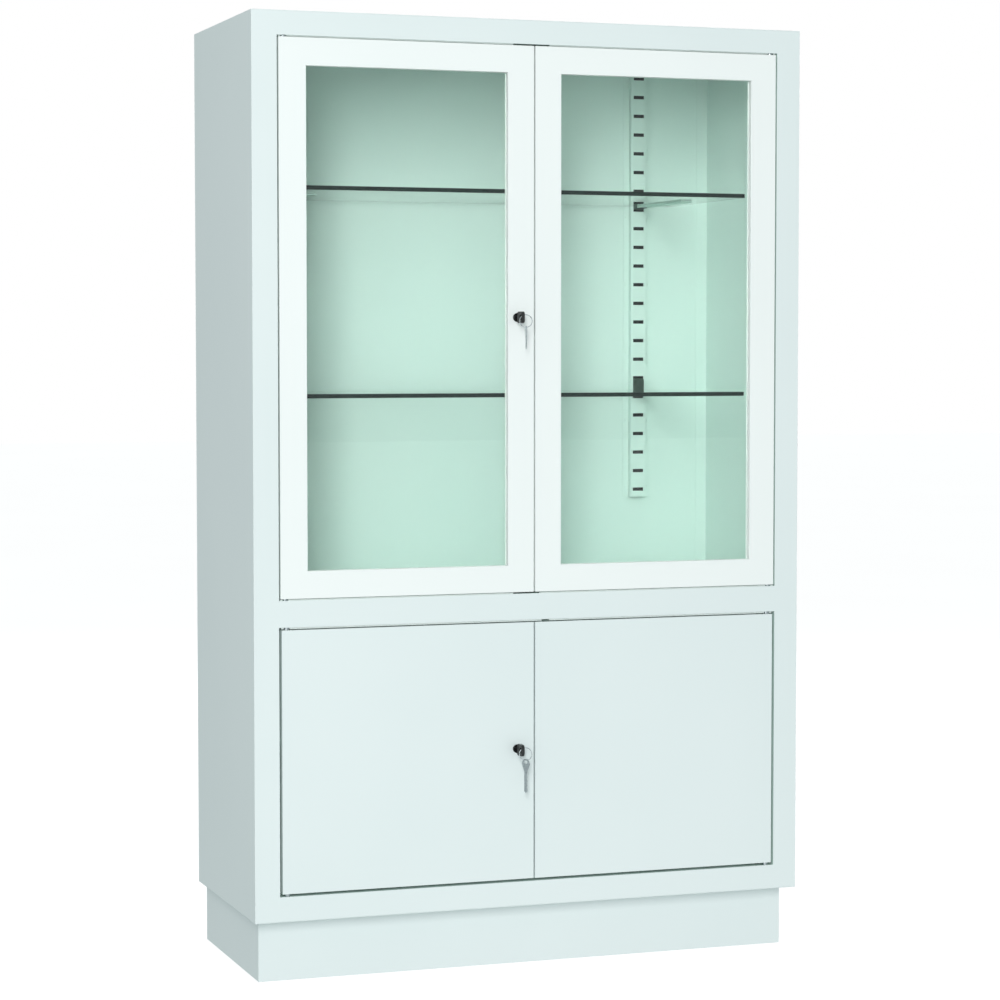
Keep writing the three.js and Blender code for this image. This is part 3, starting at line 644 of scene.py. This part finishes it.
# %% Find the outline of a key head
def cast_to_outline(origin, angle, outline):
    ray_y, ray_z = math.cos(angle), math.sin(angle)
    best = None
    for (y0, z0), (y1, z1) in zip(outline, outline[1:] + outline[:1]):
        side_y, side_z = y1 - y0, z1 - z0
        cross = ray_y * side_z - ray_z * side_y
        if abs(cross) < 1e-12:
            continue
        reach = ((y0 - origin[0]) * side_z - (z0 - origin[1]) * side_y) / cross
        along = ((y0 - origin[0]) * ray_z - (z0 - origin[1]) * ray_y) / cross
        if reach > 0 and -1e-9 <= along <= 1 + 1e-9 and (best is None or reach < best):
            best = reach
    return origin[0] + ray_y * best, origin[1] + ray_z * best


unit_square = [(1.0, 1.0), (-1.0, 1.0), (-1.0, -1.0), (1.0, -1.0)]
print("a level ray meets a unit square at", cast_to_outline((0.0, 0.0), 0.0, unit_square))

# %% Mould the key heads
KEY_HEAD_LENGTH = 0.0280
KEY_CORNER = 0.007
KEY_HOLE = 0.0055
KEY_HOLE_FROM_TIP = 0.0080
KEY_BORDER = 0.0008
KEY_DRAFT = 0.00005
KEY_SINK = 0.0007
KEY_EDGE = 0.0003
KEY_LOOP = 48


def head_loops(shape, x, hole, outline):
    outer, inner = [], []
    for step in range(KEY_LOOP):
        angle = 2 * math.pi * step / KEY_LOOP
        y, z = cast_to_outline(hole, angle, outline)
        outer.append(shape.verts.new((x, y, z)))
        rim = (hole[0] + KEY_HOLE * math.cos(angle), hole[1] + KEY_HOLE * math.sin(angle))
        inner.append(shape.verts.new((x, *rim)))
    return outer, inner


def make_key_head(level):
    low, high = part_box(level + "_key")
    hole = (low.y + KEY_HOLE_FROM_TIP, (low.z + high.z) / 2)
    outline = rounded_corners((low.y, low.z), (low.y + KEY_HEAD_LENGTH, high.z), KEY_CORNER, 8)
    shape = bmesh.new()
    rings = [head_loops(shape, x, hole, outline) for x in (low.x, high.x)]
    sides = ([], [])
    for step in range(KEY_LOOP):
        after = (step + 1) % KEY_LOOP
        for faces, (outer, inner) in zip(sides, rings):
            faces.append(shape.faces.new((outer[step], outer[after], inner[after], inner[step])))
        for near, far in zip(*rings):
            shape.faces.new((near[step], near[after], far[after], far[step]))
    bmesh.ops.recalc_face_normals(shape, faces=shape.faces)
    for faces in sides:
        bmesh.ops.inset_region(shape, faces=faces, thickness=KEY_BORDER, use_even_offset=True)
        bmesh.ops.inset_region(
            shape, faces=faces, thickness=KEY_DRAFT, depth=-KEY_SINK, use_even_offset=True)
    head = make_piece(level + "_key_head", shape, [black_plastic], level + "_lock")
    soften(head, KEY_EDGE, 3)
    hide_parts(level + "_key")
    return head


print("head:", KEY_HEAD_LENGTH, "m long, hole", 2 * KEY_HOLE, "m across")

# %% [markdown]
# ## Key blades
#
# The blade of a key is a flat steel bar with a groove milled along either side. A groove runs the whole
# length, so the blade is one section, drawn as a list of points and pulled from the head into the lock.
# It starts a little inside the head, as the real one is moulded in.

# %% Mill the blades and make the keys
BLADE_HALF = (0.0010, 0.0035)
BLADE_OVERLAP = 0.001
GROOVE_LEFT = 0.45


def make_key_blade(level):
    low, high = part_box(level + "_key")
    x, z = (low.x + high.x) / 2, (low.z + high.z) / 2
    half_x, half_z = BLADE_HALF
    groove = half_x * GROOVE_LEFT
    section = [
        (half_x, half_z), (half_x, half_z * 0.35), (groove, half_z * 0.2), (groove, -half_z * 0.1),
        (half_x, -half_z * 0.25), (half_x, -half_z), (-half_x, -half_z), (-half_x, -half_z * 0.65),
        (-groove, -half_z * 0.5), (-groove, -half_z * 0.2), (-half_x, -half_z * 0.05), (-half_x, half_z),
    ]
    shape = bmesh.new()
    start = low.y + KEY_HEAD_LENGTH - BLADE_OVERLAP
    near = [shape.verts.new((x + dx, start, z + dz)) for dx, dz in section]
    far = [shape.verts.new((x + dx, high.y, z + dz)) for dx, dz in section]
    shape.faces.new(near)
    shape.faces.new(far)
    for step in range(len(section)):
        after = (step + 1) % len(section)
        shape.faces.new((near[step], near[after], far[after], far[step]))
    return make_piece(level + "_key_blade", shape, [nickel], level + "_lock")


for level in ("upper", "lower"):
    print(make_key_head(level).name, make_key_blade(level).name)

# %% [markdown]
# ## Screws and rivets
#
# Small fasteners show how a sheet metal cabinet is held together. A pan head screw is a profile turned
# round an axis, with a cross cut into it by a Boolean modifier; a rivet is a low dome. Placing each one
# as an object of its own would crowd the scene, so each kind is modelled once, pointing up the Z axis,
# and then copied into place: all the fasteners of one group become a single piece.

# %% Helpers for turned pieces
HEAD_SEAT = 0.0002


def turned(profile, steps):
    shape = bmesh.new()
    verts = [shape.verts.new((radius, 0, level)) for radius, level in profile]
    edges = [shape.edges.new(pair) for pair in zip(verts, verts[1:])]
    bmesh.ops.spin(
        shape, geom=verts + edges, axis=(0, 0, 1), cent=(0, 0, 0), steps=steps, angle=2 * math.pi)
    bmesh.ops.remove_doubles(shape, verts=shape.verts, dist=1e-6)
    bmesh.ops.recalc_face_normals(shape, faces=shape.faces)
    return shape


def loose_object(name, shape):
    mesh = bpy.data.meshes.new(name)
    shape.to_mesh(mesh)
    shape.free()
    loose = bpy.data.objects.new(name, mesh)
    scene.collection.objects.link(loose)
    return loose


def turned_head(name, dome, radius, steps):
    seat = [(radius, -HEAD_SEAT), (0.0, -HEAD_SEAT)]
    return loose_object(name, turned(dome + seat, steps))


print("heads go", HEAD_SEAT, "m into the sheet below them")

# %% Turn a screw and a rivet
def cross_cutter(arm, width, low, high):
    quarter = [(arm, -width), (arm, width), (width, width)]
    plan = []
    for turn in range(4):
        spin = Matrix.Rotation(math.radians(90 * turn), 2)
        plan += [spin @ Vector(point) for point in quarter]
    shape = bmesh.new()
    bottom = shape.faces.new([shape.verts.new((x, y, low)) for x, y in plan])
    push_face(shape, bottom, (0, 0, high - low))
    bmesh.ops.recalc_face_normals(shape, faces=shape.faces)
    return shape


def pan_screw(radius, height):
    dome = [
        (0.0, height), (radius * 0.45, height * 0.97), (radius * 0.8, height * 0.75),
        (radius, height * 0.3)]
    head = turned_head("screw_head", dome, radius, 24)
    cross = cross_cutter(arm=radius * 0.55, width=radius * 0.11, low=height * 0.35, high=height * 2)
    cutter = loose_object("screw_cutter", cross)
    recess = head.modifiers.new("cross_recess", "BOOLEAN")
    recess.object = cutter
    recess.solver = "EXACT"
    shaped = bpy.data.meshes.new_from_object(head.evaluated_get(bpy.context.evaluated_depsgraph_get()))
    bpy.data.objects.remove(head)
    bpy.data.objects.remove(cutter)
    return shaped


def rivet(radius, height):
    dome = [(0.0, height), (radius * 0.5, height * 0.92), (radius * 0.85, height * 0.55), (radius, 0.0)]
    head = turned_head("rivet_head", dome, radius, 20)
    shaped = head.data
    bpy.data.objects.remove(head)
    return shaped


screw_mesh = pan_screw(radius=0.0034, height=0.0016)
rivet_mesh = rivet(radius=0.0032, height=0.0008)
back_rivet_mesh = rivet(radius=0.0045, height=0.0013)
print("screw faces:", len(screw_mesh.polygons), "rivet faces:", len(rivet_mesh.polygons))

# %% [markdown]
# ## Fasten the sheets
#
# The glazing frames are screwed to the doors so that a broken pane can be changed. The back, the slotted
# rails and the liners of the lower doors are riveted. The places of each group are worked out from the
# box of its sheet, so they follow the sheet, and a template is copied to each. The screws keep clear of
# the lock cam and the bolt knob.

# %% Helpers for fasteners
BACKWARD = (0, 1, 0)
FORWARD = (0, -1, 0)


def fasten(name, template, finish, places, facing, body):
    turn = Vector(facing).to_track_quat("Z", "Y").to_matrix().to_4x4()
    shape = bmesh.new()
    for place in places:
        one = template.copy()
        one.transform(Matrix.Translation(place) @ turn)
        shape.from_mesh(one)
        bpy.data.meshes.remove(one)
    group = make_piece(name, shape, [finish], body)
    group.data.shade_smooth()
    group.data.set_sharp_from_angle(angle=SHARP)
    print(group.name, len(places))
    return group


def spaced(low, high, count):
    return [low + (high - low) * step / (count - 1) for step in range(count)]


print("three places from 0 to 1:", spaced(0.0, 1.0, 3))

# %% Fasten the doors and the rails
STILE_MIDDLE = 0.026
SCREW_RISES = (0.080, 0.290, 0.740, 0.900)
SCREW_END = 0.11
LINER_MARGIN = 0.014
LINER_END = (0.09, 0.05)
RAIL_END = 0.02


def screw_glazing(side):
    low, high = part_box(side + "_glazing_frame")
    places = []
    for x in (low.x + STILE_MIDDLE, high.x - STILE_MIDDLE):
        places += [(x, high.y, low.z + rise) for rise in SCREW_RISES]
    for z in (low.z + STILE_MIDDLE, high.z - STILE_MIDDLE):
        places += [(x, high.y, z) for x in spaced(low.x + SCREW_END, high.x - SCREW_END, 3)]
    body = "upper_" + side + "_door"
    fasten(side + "_glazing_screws", screw_mesh, zinc, places, BACKWARD, body)


def rivet_liner(side):
    low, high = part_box(side + "_cupboard_door_liner")
    end_x, end_z = LINER_END
    heights = spaced(low.z + end_z, high.z - end_z, 4)
    widths = spaced(low.x + end_x, high.x - end_x, 4)
    places = [(x, high.y, z) for x in (low.x + LINER_MARGIN, high.x - LINER_MARGIN) for z in heights]
    places += [(x, high.y, z) for z in (low.z + LINER_MARGIN, high.z - LINER_MARGIN) for x in widths]
    body = "lower_" + side + "_door"
    fasten(side + "_liner_rivets", rivet_mesh, body_white, places, BACKWARD, body)


def rivet_rail(side):
    low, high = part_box(side + "_slotted_rail")
    feet_front = high.y - RAIL_SHEET
    heights = spaced(low.z + RAIL_END, high.z - RAIL_END, 7)
    places = [(x, feet_front, z) for x in (low.x + RAIL_FOOT / 2, high.x - RAIL_FOOT / 2) for z in heights]
    fasten(side + "_rail_rivets", rivet_mesh, carcass_finish, places, FORWARD, "cabinet")


for side in ("left", "right"):
    screw_glazing(side)
    rivet_liner(side)
    rivet_rail(side)

# %% Rivet the back
FOLD_MIDDLE = 0.012
SIDE_HEIGHTS = spaced(0.20, 1.72, 12)
END_WIDTHS = spaced(-0.50, 0.50, 9)
DECK_WIDTHS = spaced(-0.45, 0.45, 7)

low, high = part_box("back_panel")
deck_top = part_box("middle_deck")[1].z
places = [(x, high.y, z) for x in (low.x + FOLD_MIDDLE, high.x - FOLD_MIDDLE) for z in SIDE_HEIGHTS]
places += [(x, high.y, z) for z in (low.z + FOLD_MIDDLE, high.z - FOLD_MIDDLE) for x in END_WIDTHS]
places += [(x, high.y, deck_top - FOLD_MIDDLE) for x in DECK_WIDTHS]
fasten("back_panel_rivets", back_rivet_mesh, zinc, places, BACKWARD, "cabinet")

# %% [markdown]
# ## Lock tails
#
# Behind each lock a screw holds the cam on the plug's tail. It is the same pan head, a little larger,
# and it rides on the lock, so it turns with the key.

# %% Screw on the cams
cam_screw = pan_screw(radius=0.0042, height=0.0024)
for level in ("upper", "lower"):
    low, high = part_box(level + "_lock_plug")
    place = ((low.x + high.x) / 2, high.y, (low.z + high.z) / 2)
    fasten(level + "_cam_screw", cam_screw, zinc, [place], BACKWARD, level + "_lock")

# %% [markdown]
# ## Catches
#
# Each magnetic catch has two steel pole plates that stand a hair proud of its plastic body, where they
# meet the doors, and a domed fastener in either foot. Painted stripes would look the same from the
# front, but not from below, so the plates are real: a thin rounded outline pushed into the body. Two
# catches hang under a rail and one stands on a rail, so heights are counted from the lip inwards.

# %% Finish the catches
POLE_HALF = (0.013, 0.0006)
POLE_CORNER = 0.0004
POLE_RISES = (0.0045, 0.0090)
POLE_PROUD = 0.0003
POLE_DEPTH = 0.006
CATCH_FOOT = 0.002
CATCH_FOOT_ASIDE = 0.0210


def finish_catch(catch, up):
    low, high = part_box(catch)
    lip = low.z if up else high.z
    inward = 1 if up else -1
    middle_x, middle_y = (low.x + high.x) / 2, (low.y + high.y) / 2
    half_x, half_z = POLE_HALF
    shape = bmesh.new()
    for rise in POLE_RISES:
        z = lip + inward * rise
        corner_low, corner_high = (middle_x - half_x, z - half_z), (middle_x + half_x, z + half_z)
        plan = rounded_corners(corner_low, corner_high, POLE_CORNER, 2)
        front = shape.faces.new([shape.verts.new((px, low.y - POLE_PROUD, pz)) for px, pz in plan])
        push_face(shape, front, (0, POLE_DEPTH, 0))
    make_piece(catch + "_poles", shape, [zinc], "cabinet")
    foot = lip + inward * CATCH_FOOT
    places = [(middle_x + aside, middle_y, foot) for aside in (-CATCH_FOOT_ASIDE, CATCH_FOOT_ASIDE)]
    fasten(catch + "_screws", rivet_mesh, zinc, places, (0, 0, inward), "cabinet")


for catch, up in (("upper_top_catch", False), ("upper_bottom_catch", True), ("lower_top_catch", False)):
    finish_catch(catch, up)

# %% [markdown]
# ## Dust strips
#
# A soft pale strip is stuck above and below the glass doors and above the lower ones, a few millimetres
# behind their face. It stops dust, and it makes the gap look like a grey line where an open gap would be
# black. It is cut out at the pivot pins, at a bolt, and at the catches of the glass doors, whose dark
# bodies show through the gap. A curve with a bevel could make the bead, but its ends would have to be
# cut square. So a bead profile is drawn once and pulled along each free stretch of the gap.

# %% Helpers for dust strips
STRIP_FILL = 0.7
STRIP_DEPTH = 0.0030
STRIP_BEHIND = 0.0035
STRIP_CLEAR = 0.0015
PIN_CLEAR = 0.0003
BEAD = [(0.0, 0.0), (0.0, 0.7), (0.25, 0.93), (0.5, 1.0), (0.75, 0.93), (1.0, 0.7), (1.0, 0.0)]


def add_bead(shape, x_from, x_to, y_front, lip, rise):
    ends = []
    for x in (x_from, x_to):
        ring = [(x, y_front + depth * STRIP_DEPTH, lip + height * rise) for depth, height in BEAD]
        ends.append([shape.verts.new(point) for point in ring])
        shape.faces.new(ends[-1])
    for step in range(len(BEAD)):
        after = (step + 1) % len(BEAD)
        shape.faces.new((ends[0][step], ends[0][after], ends[1][after], ends[1][step]))


def make_dust_strip(name, door, lip, door_edge, pin, cut_low, cut_high):
    door_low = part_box(door)[0]
    pin_low, pin_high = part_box(pin)
    outer = door_low.x
    y_front = door_low.y + STRIP_BEHIND
    pin_from, pin_to = pin_low.x - PIN_CLEAR, pin_high.x + PIN_CLEAR
    cuts = [(pin_from, pin_to), (cut_low - STRIP_CLEAR, cut_high + STRIP_CLEAR), (-pin_to, -pin_from)]
    starts = [outer] + [high for low, high in cuts]
    ends = [low for low, high in cuts] + [-outer]
    strip = bmesh.new()
    for x_from, x_to in zip(starts, ends):
        add_bead(strip, x_from, x_to, y_front, lip, (door_edge - lip) * STRIP_FILL)
    piece = make_piece(name, strip, [rubber], "cabinet")
    piece.data.shade_smooth()
    piece.data.set_sharp_from_angle(angle=SHARP)
    print(piece.name, [round(size, 4) for size in piece.dimensions])


print("strips fill", STRIP_FILL, "of each gap")

# %% Stick the dust strips
catch_low, catch_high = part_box("upper_bottom_catch")
bolt_low, bolt_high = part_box("upper_door_bolt")
door = "left_glass_door_frame"
door_low, door_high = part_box(door)
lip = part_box("upper_top_catch")[1].z
pin = "upper_left_top_pivot_pin"
make_dust_strip("upper_top_dust_strip", door, lip, door_high.z, pin, catch_low.x, bolt_high.x)
lip = catch_low.z
pin = "upper_left_bottom_pivot_pin"
make_dust_strip("upper_bottom_dust_strip", door, lip, door_low.z, pin, catch_low.x, catch_high.x)
door = "left_cupboard_door_shell"
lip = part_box("lower_top_catch")[1].z
pin = "lower_left_top_pivot_pin"
make_dust_strip("lower_top_dust_strip", door, lip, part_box(door)[1].z, pin, bolt_low.x, bolt_high.x)

# %% [markdown]
# ## The floor
#
# The cabinet stands on a wide pale sheet, faintly mottled, with a little glow of its own so that it
# stays as white as the paper behind. A floor that also threw light back would count it twice, because
# that light is already in the world, so it is left out of bounced light and reflections.

# %% Lay the floor
FLOOR_HALF = 30.0
FLOOR_GLOW = 0.82

floor_finish, floor_shader = new_finish("studio_paper", Roughness=0.9, Emission_Color=WHITE)
floor_shader.inputs["Emission Strength"].default_value = FLOOR_GLOW
paper = colour_ramp(floor_finish, grain(floor_finish, 0.8), (0.28, 0.28, 0.28), (0.30, 0.30, 0.30))
join(floor_finish, paper, floor_shader.inputs["Base Color"])
floor_shape = bmesh.new()
bmesh.ops.create_grid(floor_shape, x_segments=1, y_segments=1, size=FLOOR_HALF)
floor = loose_object("studio_floor", floor_shape)
floor.data.materials.append(floor_finish)
floor.visible_diffuse = False
floor.visible_glossy = False
print("floor:", floor.name, "with a glow of", FLOOR_GLOW)
